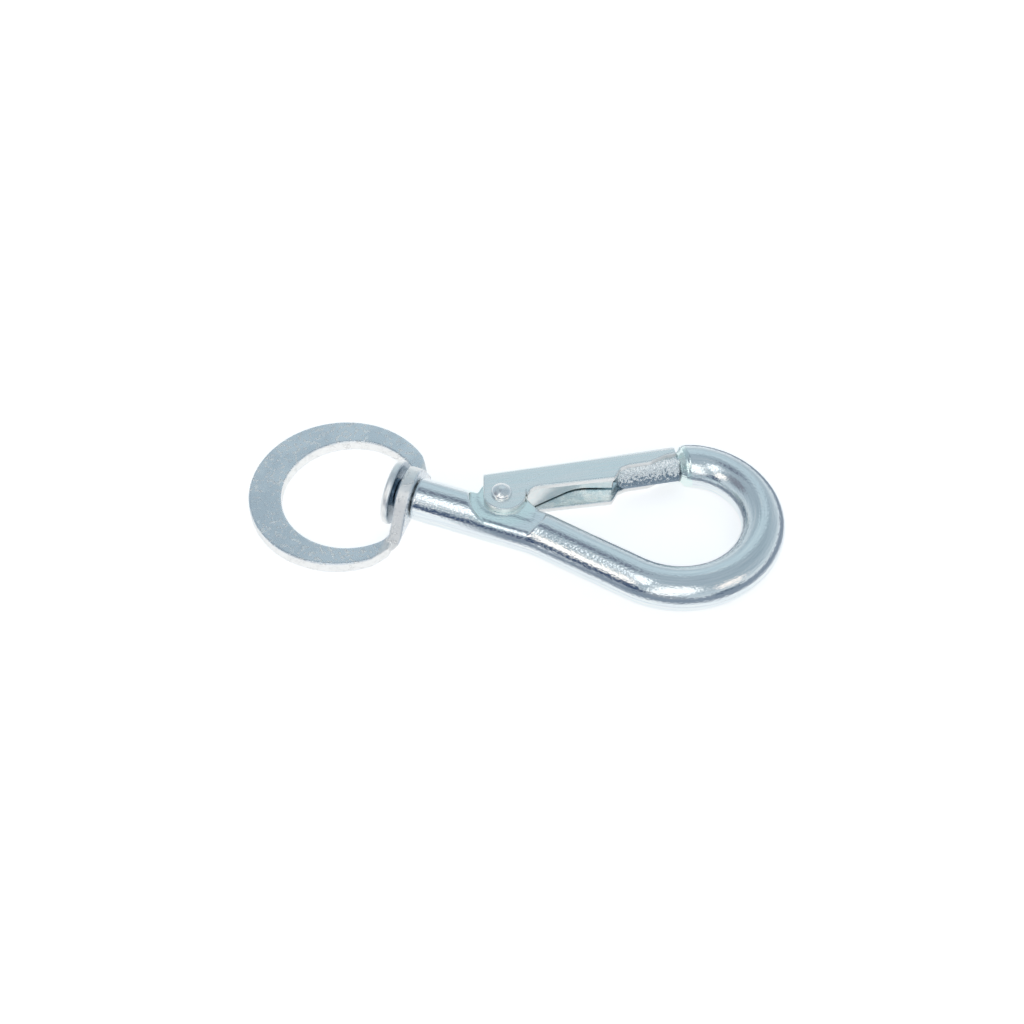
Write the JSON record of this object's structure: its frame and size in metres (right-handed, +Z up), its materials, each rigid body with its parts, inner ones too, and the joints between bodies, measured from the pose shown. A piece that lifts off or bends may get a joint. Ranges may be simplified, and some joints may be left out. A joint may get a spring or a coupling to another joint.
{
  "type": "swivel snap hook",
  "caption": "Round-bar snap hook with a sprung folded-sheet gate and a flat stamped eye that swivels at the end of its shank.",
  "frame": {"origin": "centre of the swivel eye, on the surface the hook lies on", "axes": "+X along the shank from the eye to the bow, +Y towards the gate's side, +Z up, square to the eye's plate"},
  "size_m": [0.0973, 0.0464, 0.0124],
  "materials": {
    "hook_bar": "bright zinc plate",
    "swivel_ring": "bright zinc plate",
    "gate": "bright zinc plate",
    "gate_rivet": "bright zinc plate",
    "gate_spring": "bright spring strip"
  },
  "bodies": {
    "hook_body": {"hook_bar": "hook_bar", "gate_spring": "gate_spring"},
    "eye_body": {"swivel_ring": "swivel_ring"},
    "gate_body": {"gate": "gate", "gate_rivet": "gate_rivet"}
  },
  "joints": [
    {"name": "eye_swivel", "type": "hinge", "parent": "hook_body", "child": "eye_body", "pos_m": [0.0135, 0, 0.00625], "axis": [0.9993, 0, -0.0369], "continuous": true},
    {"name": "gate_hinge", "type": "hinge", "parent": "hook_body", "child": "gate_body", "pos_m": [0.02829, 0.0035, 0.0057], "axis": [-0.0369, 0, -0.9993], "range_deg": [0, 34], "stiffness_Nm_per_rad": 0.05, "springref_deg": -20.05, "deforming": ["gate_spring"]}
  ]
}
